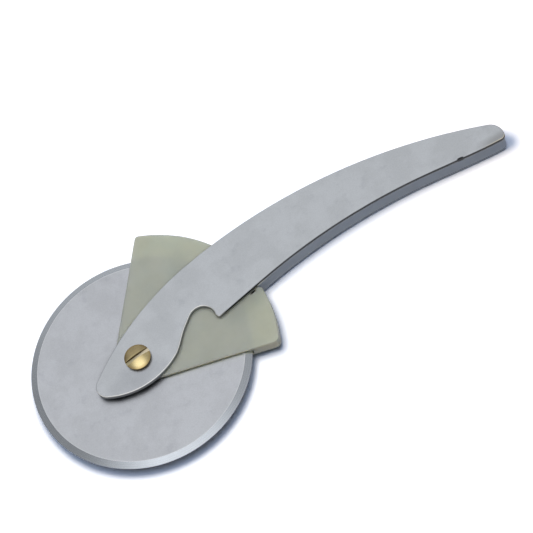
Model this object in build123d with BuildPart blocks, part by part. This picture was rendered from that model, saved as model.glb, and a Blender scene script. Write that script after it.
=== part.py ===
from build123d import *
from math import cos, radians, sin, sqrt
import os

# Pizza cutter, in millimetres. The origin is the middle of the pivot nut's flat rear face, level with
# the grip's flat rear face. +X runs from the wheel's pivot along the handle, +Z is the wheel's axis,
# towards the screw head.

# Stack at the pivot, from the rear face upwards
NUT_HEAD_HEIGHT = 1.7
PLATE_THICKNESS = 2.0
GUARD_THICKNESS = 6.0

# Handle outline, seen from the front
BELLY_CROWN = (114.3, 6.12)
BELLY_RADIUS = 270.0
BELLY_START = 63.5
BELLY_END = 152.5
BACK_CROWN = (82.2, 31.35)
BACK_RADIUS = 248.5
HANDLE_END = 188.95
TIP_LENGTH = 16.0
TIP_LIFT = 0.8
TIP_TOP_SHARE = 0.84
TIP_LOW_SHARE = 0.33
SHOULDER_START = 40.1
NOSE_CORNER = (-26.3, -4.0)
NOSE_RADIUS = 5.6
LOBE_LOW = (-3.3, -13.3)
LOBE_END = (14.75, -8.1)
NECK_MIDDLE = (22.25, -0.73)
NECK_SLOPE = 38.0
NOTCH_CENTRE = (32.8, 0.3)
NOTCH_RADIUS = 6.1
NOTCH_END_ANGLE = -15.0
TOOTH_POSITION = 39.4
TOOTH_RADIUS = 0.9
PLATE_EDGE_ROUND = 0.5

# Grip behind the front plate, and the rear plate's tongue inside it
GRIP_INSET = 0.3
GRIP_TIP_SHARE = 0.34
GRIP_ROUND_MARGIN = 0.2
TONGUE_INSET = 5.0
TONGUE_LENGTH = 30.0
TONGUE_FIT = 0.05

# Cutting wheel and its bearing
WHEEL_DIAMETER = 100.0
WHEEL_THICKNESS = 2.2
BEVEL_WIDTH = 3.0
EDGE_LAND = 0.2
BARREL_DIAMETER = 8.0
BUSH_DIAMETER = 10.0
BUSH_CLEARANCE = 0.05
WASHER_DIAMETER = 18.0
WASHER_THICKNESS = 0.2
WHEEL_SIDE_GAP = 0.3

# Guard
GUARD_HUB_CENTRE = (-0.32, 0.24)
GUARD_HUB_RADIUS = 11.2
GUARD_UPPER_ANGLE = 53.2
GUARD_LOWER_ANGLE = -16.0
GUARD_ARC_CENTRE = (1.0, -0.5)
GUARD_ARC_RADIUS = 61.3
GUARD_UPPER_CORNER = 1.8
GUARD_LOWER_CORNER = 2.7
GUARD_EDGE_ROUND = 0.5
SLOT_END_GAP = 0.5
NOTCH_DEPTH = 5.6
NOTCH_FIT = 0.1
SLIT_OFFSET = 0.5
SLIT_WIDTH = 0.64
SLIT_LENGTH = 2.7
NOTCH_MOUTH_RADIUS = 2.2

# Fasteners
BARREL_FIT = 0.05
BARREL_SHORT = 0.4
NUT_ACROSS_FLATS = 11.0
NUT_CHAMFER = 0.5
SCREW_DIAMETER = 5.0
SCREW_LENGTH = 7.4
THREAD_RUNOUT = 0.6
HEAD_DIAMETER = 11.9
HEAD_RIM = 1.4
HEAD_DOME = 1.1
SCREW_SLOT_WIDTH = 1.9
SCREW_SLOT_FLOOR = 0.95
SCREW_SLOT_ANGLE = 5.0
PIN_DIAMETER = 4.0
PIN_ENTRY = 1.2
PIN_COUNT = 4
FIRST_PIN = 74.0
PIN_SPACING = 30.0

# Derived levels and sizes
rear_z = NUT_HEAD_HEIGHT
guard_z = rear_z + PLATE_THICKNESS
front_z = guard_z + GUARD_THICKNESS
top_z = front_z + PLATE_THICKNESS
middle_z = guard_z + GUARD_THICKNESS / 2
barrel_top_z = top_z - BARREL_SHORT
wheel_radius = WHEEL_DIAMETER / 2
slot_width = WHEEL_THICKNESS + 2 * WHEEL_SIDE_GAP
barrel_hole_radius = BARREL_DIAMETER / 2 + BARREL_FIT
grip_front_radius = GUARD_ARC_RADIUS - NOTCH_DEPTH


def arc_height(crown, radius, x):
    """Y of a wide arc that bulges upwards, given its crown point."""
    return crown[1] - radius + sqrt(radius**2 - (x - crown[0]) ** 2)


def belly(x):
    """Point of the handle's lower edge: a wide arc that runs out straight at both ends."""
    arc_x = min(max(x, BELLY_START), BELLY_END)
    slope = (BELLY_CROWN[0] - arc_x) / sqrt(BELLY_RADIUS**2 - (arc_x - BELLY_CROWN[0]) ** 2)
    return (x, arc_height(BELLY_CROWN, BELLY_RADIUS, arc_x) + slope * (x - arc_x))


def back(x):
    return (x, arc_height(BACK_CROWN, BACK_RADIUS, x))


def around(centre, radius, angle):
    """Point on a circle at an angle in degrees."""
    return (centre[0] + radius * cos(radians(angle)), centre[1] + radius * sin(radians(angle)))


def middle_of_handle(x):
    return (x, (belly(x)[1] + back(x)[1]) / 2)


pin_spots = [middle_of_handle(FIRST_PIN + i * PIN_SPACING) for i in range(PIN_COUNT)]

# Outline of a side plate: long curved handle, lobe over the wheel, notch and tooth, first with a square tip
tooth = belly(TOOTH_POSITION)
tip_top = back(HANDLE_END)
tip_low = (HANDLE_END, belly(HANDLE_END)[1] + TIP_LIFT)
tip_height = tip_top[1] - tip_low[1]
tip_top_radius = TIP_TOP_SHARE * tip_height
tip_low_radius = TIP_LOW_SHARE * tip_height
grip_tip_radius = GRIP_TIP_SHARE * tip_height
grip_rear_round = grip_tip_radius - GRIP_ROUND_MARGIN
neck_end = around(NOTCH_CENTRE, NOTCH_RADIUS, 90 + NECK_SLOPE)
notch_top = around(NOTCH_CENTRE, NOTCH_RADIUS, 90)
notch_end = around(NOTCH_CENTRE, NOTCH_RADIUS, NOTCH_END_ANGLE)
neck_direction = (cos(radians(NECK_SLOPE)), sin(radians(NECK_SLOPE)))

with BuildSketch() as square_outline:
    with BuildLine():
        Line(tooth, belly(BELLY_START))
        ThreePointArc(belly(BELLY_START), BELLY_CROWN, belly(BELLY_END))
        tail = Line(belly(BELLY_END), belly(HANDLE_END - TIP_LENGTH))
        TangentArc(tail @ 1, tip_low, tangent=tail % 1)
        Line(tip_low, tip_top)
        back_arc = ThreePointArc(tip_top, BACK_CROWN, back(SHOULDER_START))
        TangentArc(back_arc @ 1, NOSE_CORNER, tangent=back_arc % 1)
        lobe_arc = ThreePointArc(NOSE_CORNER, LOBE_LOW, LOBE_END)
        Spline(LOBE_END, NECK_MIDDLE, neck_end, tangents=(lobe_arc % 1, neck_direction))
        ThreePointArc(neck_end, notch_top, notch_end)
        Line(notch_end, tooth)
    make_face()
    fillet(vertices().sort_by_distance(NOSE_CORNER)[0], NOSE_RADIUS)
    fillet(vertices().sort_by_distance(tooth)[0], TOOTH_RADIUS)

with BuildSketch() as plate_outline:
    add(square_outline.sketch)
    fillet(vertices().sort_by_distance(tip_low)[0], tip_low_radius)
    fillet(vertices().sort_by_distance(tip_top)[0], tip_top_radius)


def outer_edges(part, last):
    """Edges around the outline of a part's top face (last is True) or bottom face."""
    face = part.faces().sort_by(Axis.Z)[-1 if last else 0]
    return face.outer_wire().edges()


# Front side plate, with blind seats for the pins in its rear face
with BuildPart() as front_plate:
    with BuildSketch(Plane.XY.offset(front_z)):
        add(plate_outline.sketch)
        Circle(barrel_hole_radius, mode=Mode.SUBTRACT)
    extrude(amount=PLATE_THICKNESS)
    fillet(outer_edges(front_plate, True), PLATE_EDGE_ROUND)
    with BuildSketch(Plane.XY.offset(front_z)):
        with Locations(*pin_spots):
            Circle(PIN_DIAMETER / 2)
    extrude(amount=PIN_ENTRY, mode=Mode.SUBTRACT)
front_plate.part.label = "front_plate"

# Outlines behind the front plate: the grip, and the rear plate's tongue inside it
with BuildSketch() as grip_outline:
    add(square_outline.sketch)
    with Locations(GUARD_ARC_CENTRE):
        Circle(grip_front_radius - GRIP_INSET, mode=Mode.SUBTRACT)
    offset(amount=-GRIP_INSET)
    fillet(vertices().sort_by_distance(tip_low)[0], grip_tip_radius)
    fillet(vertices().sort_by_distance(tip_top)[0], tip_top_radius - GRIP_INSET)

with BuildSketch() as tongue_outline:
    add(plate_outline.sketch)
    with Locations(GUARD_ARC_CENTRE):
        Circle(GUARD_ARC_RADIUS + TONGUE_LENGTH, mode=Mode.INTERSECT)
        Circle(grip_front_radius - 2 * TONGUE_INSET, mode=Mode.SUBTRACT)
    offset(amount=-TONGUE_INSET)


def before_grip(edge):
    """Whether an edge lies around the pivot, short of the grip's front."""
    middle = edge @ 0.5
    reach = (middle - Vector(*GUARD_ARC_CENTRE, middle.Z)).length
    return reach < grip_front_radius - 2 * NOTCH_FIT


# Rear side plate: the front plate's twin around the pivot, ending in the tongue
with BuildPart() as rear_plate:
    with BuildSketch(Plane.XY.offset(rear_z)):
        add(plate_outline.sketch)
        with Locations(GUARD_ARC_CENTRE):
            Circle(grip_front_radius - NOTCH_FIT, mode=Mode.INTERSECT)
        add(tongue_outline.sketch)
        with Locations((0, 0)):
            Circle(barrel_hole_radius, mode=Mode.SUBTRACT)
        with Locations(*pin_spots):
            Circle(PIN_DIAMETER / 2, mode=Mode.SUBTRACT)
    extrude(amount=PLATE_THICKNESS)
    fillet(outer_edges(rear_plate, False).filter_by(before_grip), PLATE_EDGE_ROUND)
rear_plate.part.label = "rear_plate"

# Grip: full thickness behind the front plate, rounded at the rear, with a pocket for the tongue
with BuildPart() as grip:
    with BuildSketch():
        add(grip_outline.sketch)
    extrude(amount=front_z)
    fillet(outer_edges(grip, False).sort_by(Axis.X)[1:], grip_rear_round)
    with BuildSketch(Plane.XY.offset(rear_z)):
        offset(tongue_outline.sketch, amount=TONGUE_FIT)
    extrude(amount=PLATE_THICKNESS, mode=Mode.SUBTRACT)
    with BuildSketch():
        with Locations(*pin_spots):
            Circle(PIN_DIAMETER / 2)
    extrude(amount=front_z, mode=Mode.SUBTRACT)
grip.part.label = "grip"

# Pins through the grip into the front plate, flush with the grip's rear face
with BuildPart() as handle_pins:
    with BuildSketch():
        with Locations(*pin_spots):
            Circle(PIN_DIAMETER / 2)
    extrude(amount=front_z + PIN_ENTRY)
handle_pins.part.label = "handle_pins"

# Guard: a fan with a hub around the pivot, slotted for the wheel and notched for the grip, with a short slit
upper_start = around(GUARD_HUB_CENTRE, GUARD_HUB_RADIUS, GUARD_UPPER_ANGLE + 90)
lower_start = around(GUARD_HUB_CENTRE, GUARD_HUB_RADIUS, GUARD_LOWER_ANGLE - 90)
beyond_arc = 2 * GUARD_ARC_RADIUS
notch_mouth = belly(GUARD_ARC_RADIUS + GUARD_ARC_CENTRE[0])

with BuildSketch() as grip_seat:
    add(plate_outline.sketch)
    with Locations(GUARD_ARC_CENTRE):
        Circle(grip_front_radius - NOTCH_FIT, mode=Mode.SUBTRACT)

with BuildSketch() as slit_outline:
    with Locations((0, -SLIT_OFFSET - SLIT_WIDTH)):
        add(plate_outline.sketch)
    with Locations((0, -SLIT_OFFSET)):
        add(plate_outline.sketch, mode=Mode.SUBTRACT)
    with Locations(GUARD_ARC_CENTRE):
        Circle(grip_front_radius + SLIT_LENGTH, mode=Mode.INTERSECT)
        Circle(grip_front_radius, mode=Mode.SUBTRACT)

with BuildPart() as guard:
    with BuildSketch(Plane.XY.offset(guard_z)):
        with BuildLine():
            upper_end = around(upper_start, beyond_arc, GUARD_UPPER_ANGLE)
            lower_end = around(lower_start, beyond_arc, GUARD_LOWER_ANGLE)
            Polyline(upper_start, upper_end, lower_end, lower_start, close=True)
        make_face()
        with Locations(GUARD_ARC_CENTRE):
            Circle(GUARD_ARC_RADIUS, mode=Mode.INTERSECT)
        with Locations(GUARD_HUB_CENTRE):
            Circle(GUARD_HUB_RADIUS)
        fillet(vertices().sort_by(Axis.Y)[0], GUARD_LOWER_CORNER)
        fillet(vertices().sort_by(Axis.Y)[-1], GUARD_UPPER_CORNER)
        add(grip_seat.sketch, mode=Mode.SUBTRACT)
        fillet(vertices().sort_by_distance(notch_mouth)[0], NOTCH_MOUTH_RADIUS)
    extrude(amount=GUARD_THICKNESS)
    fillet(outer_edges(guard, True), GUARD_EDGE_ROUND)
    fillet(outer_edges(guard, False), GUARD_EDGE_ROUND)
    with BuildSketch(Plane.XY.offset(guard_z)):
        add(slit_outline.sketch)
        Circle(barrel_hole_radius)
    extrude(amount=GUARD_THICKNESS, mode=Mode.SUBTRACT)
    with BuildSketch(Plane.XY.offset(middle_z - slot_width / 2)):
        Circle(wheel_radius + SLOT_END_GAP)
    extrude(amount=slot_width, mode=Mode.SUBTRACT)
guard.part.label = "guard"

# Cutting wheel, ground to an edge from both sides
with BuildPart() as wheel:
    with BuildSketch(Plane.XZ):
        with BuildLine():
            bore = BUSH_DIAMETER / 2
            bevel_start = wheel_radius - BEVEL_WIDTH
            face_up = middle_z + WHEEL_THICKNESS / 2
            face_down = middle_z - WHEEL_THICKNESS / 2
            land_up = middle_z + EDGE_LAND / 2
            land_down = middle_z - EDGE_LAND / 2
            Polyline(
                (bore, face_down),
                (bevel_start, face_down),
                (wheel_radius, land_down),
                (wheel_radius, land_up),
                (bevel_start, face_up),
                (bore, face_up),
                close=True,
            )
        make_face()
    revolve(axis=Axis.Z)
wheel.part.label = "wheel"

# Bush in the wheel, running on the nut's barrel
with BuildPart() as wheel_bush:
    with BuildSketch(Plane.XY.offset(middle_z - WHEEL_THICKNESS / 2)):
        Circle(BUSH_DIAMETER / 2)
        Circle(BARREL_DIAMETER / 2 + BUSH_CLEARANCE, mode=Mode.SUBTRACT)
    extrude(amount=WHEEL_THICKNESS)
wheel_bush.part.label = "wheel_bush"


def washer_sketch():
    Circle(WASHER_DIAMETER / 2)
    Circle(barrel_hole_radius, mode=Mode.SUBTRACT)


# Slip washers against the guard's two flanges
with BuildPart() as front_washer:
    with BuildSketch(Plane.XY.offset(middle_z + slot_width / 2 - WASHER_THICKNESS)):
        washer_sketch()
    extrude(amount=WASHER_THICKNESS)
front_washer.part.label = "front_washer"

with BuildPart() as rear_washer:
    with BuildSketch(Plane.XY.offset(middle_z - slot_width / 2)):
        washer_sketch()
    extrude(amount=WASHER_THICKNESS)
rear_washer.part.label = "rear_washer"

# Barrel nut: hex head behind the rear plate, barrel through the stack
with BuildPart() as pivot_nut:
    with BuildSketch():
        RegularPolygon(NUT_ACROSS_FLATS / 2, 6, major_radius=False)
    extrude(amount=NUT_HEAD_HEIGHT)
    chamfer(outer_edges(pivot_nut, False), NUT_CHAMFER)
    with BuildSketch(Plane.XY.offset(NUT_HEAD_HEIGHT)):
        Circle(BARREL_DIAMETER / 2)
    extrude(amount=barrel_top_z - NUT_HEAD_HEIGHT)
    bore_depth = SCREW_LENGTH - BARREL_SHORT + THREAD_RUNOUT
    with BuildSketch(Plane.XY.offset(barrel_top_z)):
        Circle(SCREW_DIAMETER / 2)
    extrude(amount=-bore_depth, mode=Mode.SUBTRACT)
pivot_nut.part.label = "pivot_nut"

# Screw with a low domed head and a driver slot
with BuildPart() as pivot_screw:
    with BuildSketch(Plane.XY.offset(top_z - SCREW_LENGTH)):
        Circle(SCREW_DIAMETER / 2)
    extrude(amount=SCREW_LENGTH)
    head_radius = HEAD_DIAMETER / 2
    rim_z = top_z + HEAD_RIM
    crown_z = rim_z + HEAD_DOME
    with BuildSketch(Plane.XZ):
        with BuildLine():
            Polyline((0, crown_z), (0, top_z), (head_radius, top_z), (head_radius, rim_z))
            TangentArc((0, crown_z), (head_radius, rim_z), tangent=(1, 0))
        make_face()
    revolve(axis=Axis.Z)
    with BuildSketch(Plane.XY.offset(top_z + SCREW_SLOT_FLOOR)):
        Rectangle(HEAD_DIAMETER, SCREW_SLOT_WIDTH, rotation=SCREW_SLOT_ANGLE)
    extrude(until=Until.LAST, mode=Mode.SUBTRACT)
pivot_screw.part.label = "pivot_screw"

os.makedirs("parts", exist_ok=True)
for piece in (
    front_plate,
    rear_plate,
    grip,
    handle_pins,
    guard,
    wheel,
    wheel_bush,
    front_washer,
    rear_washer,
    pivot_nut,
    pivot_screw,
):
    export_step(piece.part, f"parts/{piece.part.label}.step")
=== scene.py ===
import math

import bpy
from mathutils import Matrix, Vector


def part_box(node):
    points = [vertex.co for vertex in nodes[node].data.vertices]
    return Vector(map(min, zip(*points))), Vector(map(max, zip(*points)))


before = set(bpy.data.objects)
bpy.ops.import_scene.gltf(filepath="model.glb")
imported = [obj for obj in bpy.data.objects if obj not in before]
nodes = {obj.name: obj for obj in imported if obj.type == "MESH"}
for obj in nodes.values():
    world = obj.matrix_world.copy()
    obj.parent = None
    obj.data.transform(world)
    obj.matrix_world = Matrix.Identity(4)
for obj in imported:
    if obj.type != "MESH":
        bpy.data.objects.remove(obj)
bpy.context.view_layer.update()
plate_back, plate_face = (corner.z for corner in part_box("front_plate"))
scene = bpy.context.scene
scene.view_settings.view_transform = "Standard"

# Camera at the photograph's angle
CAMERA_PLACE = Vector((0.00742, -0.57640, 1.05256))
CAMERA_TARGET = Vector((0.06911, 0.00857, 0.0067))
CAMERA_ROLL = math.radians(-26.08)
CAMERA_LENS = 183.96
SENSOR_WIDTH = 36.0
CLIP_END = 20.0

camera_data = bpy.data.cameras.new("camera")
camera_data.lens = CAMERA_LENS
camera_data.sensor_width = SENSOR_WIDTH
camera_data.clip_end = CLIP_END
camera = bpy.data.objects.new("camera", camera_data)
scene.collection.objects.link(camera)
forward = (CAMERA_TARGET - CAMERA_PLACE).normalized()
side = forward.cross(Vector((0, 0, 1))).normalized()
upward = side.cross(forward)
right = side * math.cos(CAMERA_ROLL) + upward * math.sin(CAMERA_ROLL)
up = upward * math.cos(CAMERA_ROLL) - side * math.sin(CAMERA_ROLL)
camera.matrix_world = Matrix((
    (right.x, up.x, -forward.x, CAMERA_PLACE.x),
    (right.y, up.y, -forward.y, CAMERA_PLACE.y),
    (right.z, up.z, -forward.z, CAMERA_PLACE.z),
    (0, 0, 0, 1),
))
scene.camera = camera

# Helpers for node materials
WHITE = (1.0, 1.0, 1.0)
METAL = 1.0
PLASTIC = 0.0
NOISE_MIDDLE = (0.3, 0.7)
BUMP_DEPTH = 0.0001
NEARBY_SAMPLES = 8

# Sockets of the mix node when it mixes colours
MIX_SHARE = 0
MIX_FIRST = 6
MIX_SECOND = 7
MIX_RESULT = 2


def put(tree, kind, inputs=None, **settings):
    """New node; each input is a plain value or another node's output."""
    made = tree.nodes.new(kind)
    for name, value in settings.items():
        setattr(made, name, value)
    for socket, value in (inputs or {}).items():
        if isinstance(value, bpy.types.NodeSocket):
            tree.links.new(value, made.inputs[socket])
        else:
            made.inputs[socket].default_value = value
    return made


def calc(tree, operation, a, b=0.0, clamp=False):
    made = put(tree, "ShaderNodeMath", {0: a, 1: b}, operation=operation)
    made.use_clamp = clamp
    return made.outputs[0]


def vector_calc(tree, operation, a, b, output="Vector"):
    return put(tree, "ShaderNodeVectorMath", {0: a, 1: b}, operation=operation).outputs[output]


def length(tree, vector):
    return put(tree, "ShaderNodeVectorMath", {0: vector}, operation="LENGTH").outputs["Value"]


def span(tree, value, low, high, start=0.0, end=1.0):
    """Map a value from one span to another, clamped and smooth."""
    inputs = {"Value": value, "From Min": low, "From Max": high, "To Min": start, "To Max": end}
    return put(tree, "ShaderNodeMapRange", inputs, interpolation_type="SMOOTHSTEP").outputs["Result"]


def fall(tree, value, low, high):
    """1 below the span and 0 above it."""
    return span(tree, value, low, high, 1.0, 0.0)


def noise(tree, place, scale, detail, rough):
    inputs = {"Vector": place, "Scale": scale, "Detail": detail, "Roughness": rough}
    return put(tree, "ShaderNodeTexNoise", inputs).outputs["Fac"]


def weighted(tree, first, first_share, second, second_share):
    first_part = calc(tree, "MULTIPLY", first, first_share)
    second_part = calc(tree, "MULTIPLY", second, second_share)
    return calc(tree, "ADD", first_part, second_part)


def with_alpha(colour):
    """A plain colour as a socket takes it; another node's output as it is."""
    return colour if isinstance(colour, bpy.types.NodeSocket) else (*colour, 1.0)


def blend(tree, share, first, second):
    inputs = {MIX_SHARE: share, MIX_FIRST: with_alpha(first), MIX_SECOND: with_alpha(second)}
    return put(tree, "ShaderNodeMix", inputs, data_type="RGBA").outputs[MIX_RESULT]


def tint(tree, colour, factor):
    inputs = {MIX_SHARE: 1.0, MIX_FIRST: colour, MIX_SECOND: factor}
    made = put(tree, "ShaderNodeMix", inputs, data_type="RGBA", blend_type="MULTIPLY")
    return made.outputs[MIX_RESULT]


def stained(tree, colour, share, stain):
    """Colour multiplied by the stain where the share is 1."""
    return tint(tree, colour, blend(tree, share, WHITE, stain))


def shades(tree, share, colour, spread):
    """Colour that varies a little to both sides with the share."""
    dark = [c * (1.0 - spread) for c in colour]
    light = [min(c * (1.0 + spread), 1.0) for c in colour]
    return blend(tree, span(tree, share, *NOISE_MIDDLE), dark, light)


def bump(tree, height, strength):
    inputs = {"Height": height, "Strength": strength, "Distance": BUMP_DEPTH}
    return put(tree, "ShaderNodeBump", inputs).outputs["Normal"]


def openness(tree, reach):
    """How open the space around a point is, within the reach: 1 in the open, less beside other faces."""
    inputs = {"Distance": reach}
    return put(tree, "ShaderNodeAmbientOcclusion", inputs, samples=NEARBY_SAMPLES).outputs["AO"]


def axes(tree, vector):
    return put(tree, "ShaderNodeSeparateXYZ", {0: vector}).outputs


def face_normal(tree):
    return axes(tree, put(tree, "ShaderNodeNewGeometry").outputs["True Normal"])


def facing_up(tree):
    """How far a face looks along the wheel's axis: 1 on flat faces, 0 on side walls."""
    return calc(tree, "ABSOLUTE", face_normal(tree)["Z"])


def flattened(tree, parts):
    return put(tree, "ShaderNodeCombineXYZ", {"X": parts["X"], "Y": parts["Y"]}).outputs[0]


def from_axis(tree, place):
    """Distance from the wheel's axis, in metres."""
    return length(tree, flattened(tree, axes(tree, place)))


def ring_noise(tree, radius, texture):
    """Noise that is the same all round the wheel's axis."""
    return noise(tree, put(tree, "ShaderNodeCombineXYZ", {"X": radius}).outputs[0], *texture)


def spot(tree, place, centre, reach, slope, core):
    """1 in the core of an oval spot on a face, whose long side has a slope, and 0 outside its reach."""
    away = vector_calc(tree, "SUBTRACT", place, (*centre, 0.0))
    turn = {"Vector": away, "Angle": -math.atan(slope)}
    turned = put(tree, "ShaderNodeVectorRotate", turn, rotation_type="Z_AXIS").outputs[0]
    scaled = vector_calc(tree, "MULTIPLY", turned, (1.0 / reach[0], 1.0 / reach[1], 0.0))
    return fall(tree, length(tree, scaled), core, 1.0)


def start(name, metallic, roughness):
    """New material with its tree, its shader and the object coordinates."""
    material = bpy.data.materials.new(name)
    material.use_nodes = True
    tree = material.node_tree
    shader = tree.nodes["Principled BSDF"]
    shader.inputs["Metallic"].default_value = metallic
    shader.inputs["Roughness"].default_value = roughness
    place = put(tree, "ShaderNodeTexCoord").outputs["Object"]
    return material, tree, shader, place


def finish(tree, shader, colour, roughness, normal):
    tree.links.new(colour, shader.inputs["Base Color"])
    tree.links.new(roughness, shader.inputs["Roughness"])
    tree.links.new(normal, shader.inputs["Normal"])


# Satin steel; each texture is its scale, detail and roughness
STEEL_ROUGHNESS = 0.36
STEEL_BUMP = 0.10
SMUDGES = (75.0, 4.0, 0.6)
SMUDGE_SPAN = (0.36, 0.64)
SMUDGE_DARK = 0.93
SMUDGE_LIGHT = 1.05
MARKS = (190.0, 5.0, 0.65)
MARK_SPAN = (0.54, 0.70)
MARK_TINT = (0.93, 0.93, 0.94)
STEEL_GRAIN = (1700.0, 2.0, 0.6)
GRAIN_TINT = (0.93, 0.93, 0.93)


def satin_face(tree, place, colour):
    """Wide soft smudges and dark marks under a fine grain. Returns the colour, smudges and grain."""
    smudges = noise(tree, place, *SMUDGES)
    marks = noise(tree, place, *MARKS)
    grain = noise(tree, place, *STEEL_GRAIN)
    dark = [c * SMUDGE_DARK for c in colour]
    light = [c * SMUDGE_LIGHT for c in colour]
    wide = blend(tree, span(tree, smudges, *SMUDGE_SPAN), dark, light)
    marked = stained(tree, wide, span(tree, marks, *MARK_SPAN), MARK_TINT)
    fine = blend(tree, span(tree, grain, *NOISE_MIDDLE), GRAIN_TINT, WHITE)
    return tint(tree, marked, fine), smudges, grain


# Side plates: where along the handle their edges change, their marks, and the painted highlights and
# reflections on their rims and walls
HEAD_END = (0.036, 0.046)
GUARD_END = (0.063, 0.067)
TIP_START = (0.175, 0.186)
LINE_BOTTOM = (plate_back + 0.0002, plate_back + 0.0007)
STREAKS = (1100.0, 3.0, 0.7)
LINE_SPREAD = 0.3
WALL_SPREAD = 0.2
HEAD_WALL_REFLECTION = (0.30, 0.31, 0.32)
GUARD_REFLECTION_WALL = (0.50, 0.50, 0.45)
TIP_HIGHLIGHT = (0.70, 0.66, 0.56)
HIGHLIGHT_SIDE = (-0.1, 0.15)
TIP_HIGHLIGHT_SIDE = (-0.45, 0.0)
WALL_TO_RIM = (0.35, 0.65)
TIP_HIGHLIGHT_SLOPE = (0.97, 0.999)
SHARP_EDGE = (0.45, 0.70)
HEAD_EDGE_SPAN = (0.93, 0.995)
FACE_ROUGHNESS = (0.30, 0.38)
WALL_TO_FACE = (0.15, 0.6)
WALL_EXTRA_ROUGHNESS = (0.2, 0.0)
NICK = {"centre": (0.1663, 0.00168), "reach": (0.0019, 0.00055), "slope": -0.14, "core": 0.6}
LOBE_STAIN = {"centre": (-0.0060, -0.0080), "reach": (0.0200, 0.0110), "slope": 0.0, "core": 0.2}
LOBE_TINT = (0.87, 0.87, 0.88)
TIP_STAIN = {"centre": (0.1850, 0.0004), "reach": (0.0130, 0.0040), "slope": -0.10, "core": 0.1}
TIP_TINT = (0.70, 0.69, 0.68)


def ground_steel(name, colour, line_colour, wall_colour, rim_highlight_colour):
    """Satin plate: painted highlights on the head's rims, painted reflections on the walls at the head and
    beside the guard, a pale painted highlight on the tip's lower rim, and a dark line along the handle's
    walls with a nick in it.
    """
    material, tree, shader, place = start(name, METAL, STEEL_ROUGHNESS)
    up_share = facing_up(tree)
    sideways = face_normal(tree)["Y"]
    across = axes(tree, place)
    at_head = fall(tree, across["X"], *HEAD_END)
    at_tip = span(tree, across["X"], *TIP_START)

    face, smudges, grain = satin_face(tree, place, colour)
    face = stained(tree, face, spot(tree, place, **LOBE_STAIN), LOBE_TINT)
    face = stained(tree, face, spot(tree, place, **TIP_STAIN), TIP_TINT)

    streaks = noise(tree, place, *STREAKS)
    line = shades(tree, streaks, line_colour, LINE_SPREAD)
    wall = shades(tree, streaks, wall_colour, WALL_SPREAD)
    # At the head the walls carry a painted reflection of the wheel beneath them.
    wall = blend(tree, at_head, wall, HEAD_WALL_REFLECTION)
    # Beside the guard the walls carry a painted reflection of the nylon.
    by_guard = calc(tree, "SUBTRACT", fall(tree, across["X"], *GUARD_END), at_head, clamp=True)
    wall = blend(tree, by_guard, wall, GUARD_REFLECTION_WALL)
    plain_wall = calc(tree, "ADD", fall(tree, across["Z"], *LINE_BOTTOM), at_head, clamp=True)
    low_wall = blend(tree, plain_wall, line, wall)

    # Rims at the head that face the lower side get a painted highlight.
    rim_highlight = blend(tree, fall(tree, sideways, *HIGHLIGHT_SIDE), face, rim_highlight_colour)
    rim = blend(tree, at_head, line, rim_highlight)
    edge = blend(tree, span(tree, up_share, *WALL_TO_RIM), low_wall, rim)

    # The tip's rims that face the lower side get a pale painted highlight.
    low_tip = calc(tree, "MULTIPLY", at_tip, fall(tree, sideways, *TIP_HIGHLIGHT_SIDE))
    tip_highlight_share = calc(tree, "MULTIPLY", low_tip, fall(tree, up_share, *TIP_HIGHLIGHT_SLOPE))
    plain = blend(tree, tip_highlight_share, face, TIP_HIGHLIGHT)
    sharp = blend(tree, span(tree, up_share, *SHARP_EDGE), edge, plain)
    light_edge = blend(tree, span(tree, up_share, *HEAD_EDGE_SPAN), edge, face)
    mixed = blend(tree, at_head, sharp, light_edge)
    mixed = blend(tree, spot(tree, place, **NICK), mixed, line_colour)

    face_rough = span(tree, smudges, *NOISE_MIDDLE, *FACE_ROUGHNESS)
    wall_rough = span(tree, up_share, *WALL_TO_FACE, *WALL_EXTRA_ROUGHNESS)
    rough = calc(tree, "ADD", face_rough, wall_rough)
    finish(tree, shader, mixed, rough, bump(tree, grain, STEEL_BUMP))
    return material


# Cutting wheel; its masks follow the radius and the pieces nearby, so they hold as it spins; near the hub,
# beside the pieces over it, the face gets painted shade
WHEEL_FACE = (0.535, 0.555, 0.595)
WHEEL_ROUGHNESS = (0.37, 0.43)
WHEEL_SHADE = (0.35, 0.35, 0.36)
WHEEL_SHADE_REACH = 0.012
WHEEL_SHADE_OPENNESS = (0.40, 0.80)
WHEEL_SHADE_RADIUS = (0.0185, 0.026)
BEVEL_RADIUS = 0.047
BEVEL_SOFTNESS = 0.00005
BEVEL_COLOUR = (0.485, 0.52, 0.565)
BEVEL_SPREAD = 0.15
BEVEL_SMOOTHER = -0.16
BEVEL_RINGS = (5200.0, 3.0, 0.6)
BRIGHT_LINE = (0.80, 0.82, 0.84)
BRIGHT_LINE_RADIUS = BEVEL_RADIUS - 0.0001
BRIGHT_LINE_REACH = (0.00005, 0.00022)
BRIGHT_LINE_SHARE = (0.35, 0.0)
GRAIN_HEIGHT = 0.5


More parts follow.
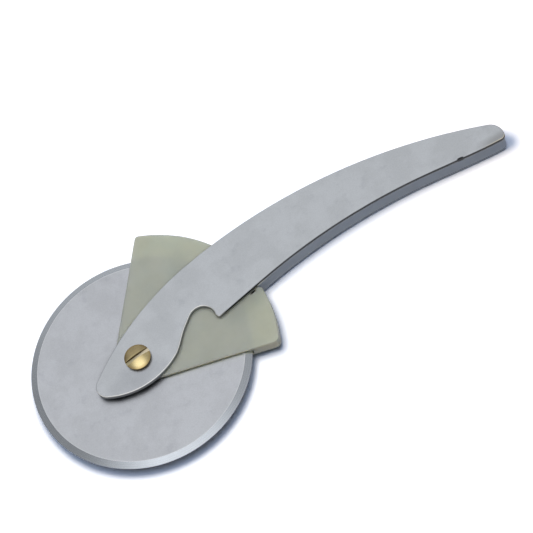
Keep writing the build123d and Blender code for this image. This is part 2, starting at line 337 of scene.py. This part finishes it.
def wheel_material():
    """Satin face, with a ground bevel marked by fine rings and a bright line where they meet."""
    material, tree, shader, place = start("wheel_steel", METAL, STEEL_ROUGHNESS)
    radius = from_axis(tree, place)
    face, smudges, grain = satin_face(tree, place, WHEEL_FACE)
    # Painted shade on the face near the hub, where other pieces stand close.
    open_share = span(tree, openness(tree, WHEEL_SHADE_REACH), *WHEEL_SHADE_OPENNESS)
    clear = calc(tree, "ADD", open_share, span(tree, radius, *WHEEL_SHADE_RADIUS), clamp=True)
    face = tint(tree, face, blend(tree, clear, WHEEL_SHADE, WHITE))

    rings = ring_noise(tree, radius, BEVEL_RINGS)
    bevel = shades(tree, rings, BEVEL_COLOUR, BEVEL_SPREAD)
    on_bevel = span(tree, radius, BEVEL_RADIUS - BEVEL_SOFTNESS, BEVEL_RADIUS + BEVEL_SOFTNESS)
    from_line = calc(tree, "ABSOLUTE", calc(tree, "SUBTRACT", radius, BRIGHT_LINE_RADIUS))
    colour = blend(tree, on_bevel, face, bevel)
    line_share = span(tree, from_line, *BRIGHT_LINE_REACH, *BRIGHT_LINE_SHARE)
    colour = blend(tree, line_share, colour, BRIGHT_LINE)

    face_rough = span(tree, smudges, *NOISE_MIDDLE, *WHEEL_ROUGHNESS)
    rough = calc(tree, "ADD", face_rough, calc(tree, "MULTIPLY", on_bevel, BEVEL_SMOOTHER))
    height = weighted(tree, grain, GRAIN_HEIGHT, rings, on_bevel)
    finish(tree, shader, colour, rough, bump(tree, height, STEEL_BUMP))
    return material


# Nylon: its light, its walls with painted light and shade, painted shade beside other pieces, and the slit
# painted dark as shade with the stain around it
NYLON_ROUGHNESS = 0.45
NYLON_ROUGHNESS_SPAN = (0.42, 0.55)
NYLON_BUMP = 0.12
GLOW_SHARE = 0.9
GLOW_COLOUR = (1.0, 0.95, 0.75)
CLOUDS = (80.0, 3.0, 0.55)
CLOUD_SPREAD = 0.05
NYLON_GRAIN = (1250.0, 2.0, 0.6)
HUES = (45.0, 2.0, 0.5)
HUE_SPAN = (0.35, 0.65)
COOL_HUE = (0.975, 1.0, 1.0)
WARM_HUE = (1.0, 0.985, 0.96)
LIT_WALL = (1.0, 0.88, 0.52)
SHADED_WALL = (0.27, 0.28, 0.23)
SHADED_SIDE = (0.1, 0.5)
WHEEL_REACH = (0.0490, 0.0505)
WALL_TO_NYLON_FACE = (0.2, 0.95)
NEARBY_SHADE = (0.66, 0.66, 0.66)
NEARBY_SHADE_REACH = 0.009
NEARBY_SHADE_OPENNESS = (0.45, 0.97)
SHADED_FACE_SPAN = (0.90, 0.99)
SLIT_SLOPE = 0.19
SLIT = {"centre": (0.0579, -0.0006), "reach": (0.0018, 0.00052), "slope": SLIT_SLOPE, "core": 0.7}
SLIT_SHADE = (0.01, 0.01, 0.01)
SLIT_STAIN = {"centre": (0.0560, -0.0010), "reach": (0.0210, 0.0095), "slope": SLIT_SLOPE, "core": 0.1}
SLIT_TINT = (0.79, 0.80, 0.82)


def nylon_material(name, colour, wall, glow_depth):
    """Translucent plastic with faint clouds, painted shade on its walls, most on the right-hand side, and
    painted light on walls over the wheel; light sinks in by the glow depth.
    """
    material, tree, shader, place = start(name, PLASTIC, NYLON_ROUGHNESS)
    shader.inputs["Subsurface Weight"].default_value = GLOW_SHARE
    shader.inputs["Subsurface Radius"].default_value = GLOW_COLOUR
    shader.inputs["Subsurface Scale"].default_value = glow_depth
    clouds = noise(tree, place, *CLOUDS)
    grain = noise(tree, place, *NYLON_GRAIN)
    hues = span(tree, noise(tree, place, *HUES), *HUE_SPAN)
    cloudy = shades(tree, clouds, colour, CLOUD_SPREAD)
    face = tint(tree, cloudy, blend(tree, hues, COOL_HUE, WARM_HUE))

    up_share = facing_up(tree)
    over_wheel = fall(tree, from_axis(tree, place), *WHEEL_REACH)
    # Walls get painted shade, more on the right-hand side, and painted light where they stand over the
    # wheel.
    sides = blend(tree, span(tree, face_normal(tree)["X"], *SHADED_SIDE), wall, SHADED_WALL)
    sides = blend(tree, over_wheel, sides, LIT_WALL)
    before_nearby_shade = blend(tree, span(tree, up_share, *WALL_TO_NYLON_FACE), sides, face)

    # Painted shade on flat faces beside other pieces.
    open_share = span(tree, openness(tree, NEARBY_SHADE_REACH), *NEARBY_SHADE_OPENNESS)
    clear = calc(tree, "ADD", open_share, fall(tree, up_share, *SHADED_FACE_SPAN), clamp=True)
    mixed = tint(tree, before_nearby_shade, blend(tree, clear, NEARBY_SHADE, WHITE))
    mixed = stained(tree, mixed, spot(tree, place, **SLIT_STAIN), SLIT_TINT)
    # The slit's inside is painted dark as shade.
    mixed = blend(tree, spot(tree, place, **SLIT), mixed, SLIT_SHADE)
    rough = span(tree, clouds, *NOISE_MIDDLE, *NYLON_ROUGHNESS_SPAN)
    finish(tree, shader, mixed, rough, bump(tree, grain, NYLON_BUMP))
    return material


# Grip: matte moulded plastic, paler along its lower edge with painted light
GRIP_ROUGHNESS = 0.6
GRIP_ROUGHNESS_SPAN = (0.5, 0.65)
GRIP_BUMP = 0.2
GRIP_GRAIN = (2500.0, 2.0, 0.6)
GRIP_GRAIN_SHARE = 0.4
GRIP_CLOUDS = (100.0, 3.0, 0.55)
GRIP_CLOUD_SHARE = 0.6
GRIP_COLOUR = (0.336, 0.374, 0.430)
GRIP_LOWER_LIGHT = (0.44, 0.48, 0.53)
GRIP_SPREAD = 0.08
LOWER_LIGHT_HEIGHT = (0.0005, 0.0035)


def grip_material():
    """Matte moulded plastic with a fine sandy texture."""
    material, tree, shader, place = start("grip_grey", PLASTIC, GRIP_ROUGHNESS)
    grain = noise(tree, place, *GRIP_GRAIN)
    clouds = noise(tree, place, *GRIP_CLOUDS)
    mottle = weighted(tree, clouds, GRIP_CLOUD_SHARE, grain, GRIP_GRAIN_SHARE)
    upper_tone = shades(tree, mottle, GRIP_COLOUR, GRIP_SPREAD)
    light_edge = shades(tree, mottle, GRIP_LOWER_LIGHT, GRIP_SPREAD)
    # Painted light makes the grip paler towards its lower edge.
    colour = blend(tree, fall(tree, axes(tree, place)["Z"], *LOWER_LIGHT_HEIGHT), upper_tone, light_edge)
    rough = span(tree, grain, *NOISE_MIDDLE, *GRIP_ROUGHNESS_SPAN)
    finish(tree, shader, colour, rough, bump(tree, grain, GRIP_BUMP))
    return material


# Brass and bronze: rings, tarnish, painted shade on walls and on the screw head, and the scraped floor of
# the screw's slot
BRASS_BUMP = 0.08
BRASS_RINGS = (5000.0, 3.0, 0.6)
TARNISH = (300.0, 3.0, 0.6)
RING_SHARE = 0.5
TARNISH_SHARE = 0.5
BRASS_SPREAD = 0.12
TARNISH_ROUGHNESS = 0.03
RING_ROUGHNESS = (-0.02, 0.02)
WALL_TO_BRASS_FACE = (0.3, 0.8)
HEAD_BOTTOM = (plate_face - 0.0001, plate_face + 0.0001)
FAR_HALF = (0.0, 0.0020)
FAR_HALF_SHADE = (0.66, 0.65, 0.68)
HEAD_RIM = (0.0046, 0.0059)
HEAD_RIM_SHADE = (0.78, 0.72, 0.64)
SLOT_FLOOR = plate_face + 0.00095
SLOT_FLOOR_REACH = (0.00002, 0.00006)
SLOT_FLOOR_FACING = (0.9, 0.99)
SLOT_LENGTH = (-0.006, 0.004)
DULL_END = (0.27, 0.23, 0.13)
SCRAPED = (0.54, 0.47, 0.34)


def turned_brass(name, colour, wall_colour, roughness):
    """Turned brass with fine rings and tarnish, painted shade on its side walls, on the head's far half
    and on its rim, and a scraped slot.
    """
    material, tree, shader, place = start(name, METAL, roughness)
    radius = from_axis(tree, place)
    rings = ring_noise(tree, radius, BRASS_RINGS)
    tarnish = noise(tree, place, *TARNISH)
    face = shades(tree, weighted(tree, rings, RING_SHARE, tarnish, TARNISH_SHARE), colour, BRASS_SPREAD)

    up_share = facing_up(tree)
    across = axes(tree, place)
    on_head = span(tree, across["Z"], *HEAD_BOTTOM)
    far_half = calc(tree, "MULTIPLY", on_head, span(tree, across["Y"], *FAR_HALF))
    rim = calc(tree, "MULTIPLY", on_head, span(tree, radius, *HEAD_RIM))
    # The head's far half is darkened with painted shade.
    face = stained(tree, face, far_half, FAR_HALF_SHADE)
    # The head's rim is darkened with painted shade.
    face = stained(tree, face, rim, HEAD_RIM_SHADE)

    off_floor = calc(tree, "ABSOLUTE", calc(tree, "SUBTRACT", across["Z"], SLOT_FLOOR))
    floor_facing = span(tree, up_share, *SLOT_FLOOR_FACING)
    scraped = calc(tree, "MULTIPLY", fall(tree, off_floor, *SLOT_FLOOR_REACH), floor_facing)
    slot_colour = blend(tree, span(tree, across["X"], *SLOT_LENGTH), DULL_END, SCRAPED)
    # Side walls and slot walls take the wall colour as painted shade.
    mixed = blend(tree, span(tree, up_share, *WALL_TO_BRASS_FACE), wall_colour, face)
    mixed = blend(tree, scraped, mixed, slot_colour)

    tarnish_span = (roughness - TARNISH_ROUGHNESS, roughness + TARNISH_ROUGHNESS)
    tarnish_rough = span(tree, tarnish, *NOISE_MIDDLE, *tarnish_span)
    rough = calc(tree, "ADD", tarnish_rough, span(tree, rings, *NOISE_MIDDLE, *RING_ROUGHNESS))
    tree.links.new(calc(tree, "SUBTRACT", 1.0, scraped), shader.inputs["Metallic"])
    finish(tree, shader, mixed, rough, bump(tree, rings, BRASS_BUMP))
    return material


# Each node's finish
plate_steel = ground_steel(
    "plate_steel",
    colour=(0.505, 0.530, 0.563),
    line_colour=(0.032, 0.033, 0.036),
    wall_colour=(0.22, 0.23, 0.25),
    rim_highlight_colour=(0.95, 0.95, 0.93),
)
pin_steel = ground_steel(
    "pin_steel",
    colour=(0.46, 0.47, 0.49),
    line_colour=(0.20, 0.205, 0.21),
    wall_colour=(0.24, 0.245, 0.25),
    rim_highlight_colour=(0.60, 0.60, 0.60),
)
wheel_steel = wheel_material()
guard_nylon = nylon_material(
    "guard_nylon", colour=(0.41, 0.426, 0.354), wall=(0.39, 0.37, 0.285), glow_depth=0.012
)
washer_plastic = nylon_material(
    "washer_plastic", colour=(0.78, 0.78, 0.76), wall=(0.76, 0.76, 0.74), glow_depth=0.0006
)
grip_grey = grip_material()
pivot_brass = turned_brass(
    "pivot_brass", colour=(0.62, 0.51, 0.27), wall_colour=(0.12, 0.09, 0.045), roughness=0.19
)
bush_bronze = turned_brass(
    "bush_bronze", colour=(0.55, 0.40, 0.22), wall_colour=(0.40, 0.29, 0.16), roughness=0.42
)

for node, material in (
    ("front_plate", plate_steel),
    ("rear_plate", plate_steel),
    ("grip", grip_grey),
    ("handle_pins", pin_steel),
    ("guard", guard_nylon),
    ("wheel", wheel_steel),
    ("wheel_bush", bush_bronze),
    ("front_washer", washer_plastic),
    ("rear_washer", washer_plastic),
    ("pivot_nut", pivot_brass),
    ("pivot_screw", pivot_brass),
):
    nodes[node].data.materials.clear()
    nodes[node].data.materials.append(material)


# What the floor and the world show to which rays
def ray_kinds(tree):
    return put(tree, "ShaderNodeLightPath").outputs


def plainly_seen(tree, rays):
    """1 for rays from the camera or a mirror-like bounce of them, 0 for light between dull faces."""
    sharp = calc(tree, "ADD", rays["Is Glossy Ray"], rays["Is Transmission Ray"])
    undimmed = calc(tree, "SUBTRACT", 1.0, rays["Diffuse Depth"], clamp=True)
    mirrored = calc(tree, "MULTIPLY", sharp, undimmed)
    return calc(tree, "ADD", rays["Is Camera Ray"], mirrored, clamp=True)


# Floor: plain white to the camera and in reflections, with the object's shadow
KEY_FOOT = (0.025, 0.03)
FLOOR_SIZE = 8.0
FLOOR_LIT = (0.68, 0.68, 0.68)
FLOOR_SEEN = (1.21, 1.22, 1.29)
FAR_FLOOR_SEEN = (1.75, 1.60, 1.50)
EDGE_FLOOR_SEEN = (4.0, 3.5, 3.0)
FLOOR_NEAR = 0.06
FLOOR_FAR = 0.24
FLOOR_EDGE = 1.8

half = FLOOR_SIZE / 2
corners = [(-half, -half, 0), (half, -half, 0), (half, half, 0), (-half, half, 0)]
mesh = bpy.data.meshes.new("floor")
mesh.from_pydata(corners, [], [(0, 1, 2, 3)])
floor = bpy.data.objects.new("floor", mesh)
scene.collection.objects.link(floor)
floor_material = bpy.data.materials.new("floor")
floor_material.use_nodes = True
tree = floor_material.node_tree
tree.nodes.clear()
seen = plainly_seen(tree, ray_kinds(tree))
floor_place = put(tree, "ShaderNodeTexCoord").outputs["Object"]
away = vector_calc(tree, "DISTANCE", floor_place, (*KEY_FOOT, 0.0), "Value")
white_floor = blend(tree, span(tree, away, FLOOR_NEAR, FLOOR_FAR), FLOOR_SEEN, FAR_FLOOR_SEEN)
white_floor = blend(tree, span(tree, away, FLOOR_FAR, FLOOR_EDGE), white_floor, EDGE_FLOOR_SEEN)
floor_colour = blend(tree, seen, FLOOR_LIT, white_floor)
floor_shader = put(tree, "ShaderNodeBsdfDiffuse", {"Color": floor_colour})
put(tree, "ShaderNodeOutputMaterial", {"Surface": floor_shader.outputs[0]})
floor.data.materials.append(floor_material)


# Light: a small warm key close above the wheel, and a large cool softbox high overhead
def softbox(name, place, size, power, colour):
    data = bpy.data.lights.new(name, "AREA")
    data.shape = "DISK"
    data.size = size
    data.energy = power
    data.color = colour
    lamp = bpy.data.objects.new(name, data)
    scene.collection.objects.link(lamp)
    lamp.location = place
    lamp.visible_glossy = False
    lamp.visible_camera = False


KEY_HEIGHT = 0.34
softbox("key", (*KEY_FOOT, KEY_HEIGHT), size=0.18, power=0.85, colour=(1.0, 0.92, 0.76))
softbox("fill", (0.0, 0.10, 3.0), size=2.8, power=50.0, colour=(0.60, 0.75, 1.0))

# World: a faint cool fill, and for reflections a long overhead box with a hot middle
FILL = (0.022, 0.026, 0.037)
BOX_MIDDLE = -0.05
BOX_EDGE = (0.16, 0.45)
NEAR_END = (-0.5, 0.0)
NEAR_GLOW = (0.1, 0.62)
FAR_END = (0.3, 1.0)
FAR_LOSS = (0.0, 0.50)
SIDE_TO_SIDE = (-0.3, 0.5)
SIDE_GLOW = (0.38, 0.55)
HOT_SPOT = (-0.10, 0.0, 0.0)
HOT_REACH = (0.08, 0.48)
HOT_GLOW = (0.80, 0.0)
LOW_HEIGHT = (0.20, 0.46)
LOW_GLOW = (0.42, 0.0)

world = bpy.data.worlds.new("studio")
scene.world = world
world.use_nodes = True
world.cycles.sampling_method = "NONE"
tree = world.node_tree
direction = axes(tree, put(tree, "ShaderNodeTexCoord").outputs["Generated"])
aside = calc(tree, "ABSOLUTE", calc(tree, "SUBTRACT", direction["X"], BOX_MIDDLE))
near_glow = span(tree, direction["Y"], *NEAR_END, *NEAR_GLOW)
along = calc(tree, "SUBTRACT", near_glow, span(tree, direction["Y"], *FAR_END, *FAR_LOSS))
box_glow = calc(tree, "MULTIPLY", fall(tree, aside, *BOX_EDGE), along)
off_middle = vector_calc(tree, "DISTANCE", flattened(tree, direction), HOT_SPOT, "Value")
hot_glow = span(tree, off_middle, *HOT_REACH, *HOT_GLOW)
side_glow = span(tree, direction["X"], *SIDE_TO_SIDE, *SIDE_GLOW)
low_glow = span(tree, direction["Z"], *LOW_HEIGHT, *LOW_GLOW)
walls = calc(tree, "ADD", side_glow, low_glow)
glow = calc(tree, "ADD", box_glow, calc(tree, "ADD", walls, hot_glow))
rays = ray_kinds(tree)
mirrored_light = blend(tree, plainly_seen(tree, rays), FILL, glow)
light = blend(tree, rays["Is Camera Ray"], mirrored_light, WHITE)
tree.links.new(light, tree.nodes["Background"].inputs["Color"])
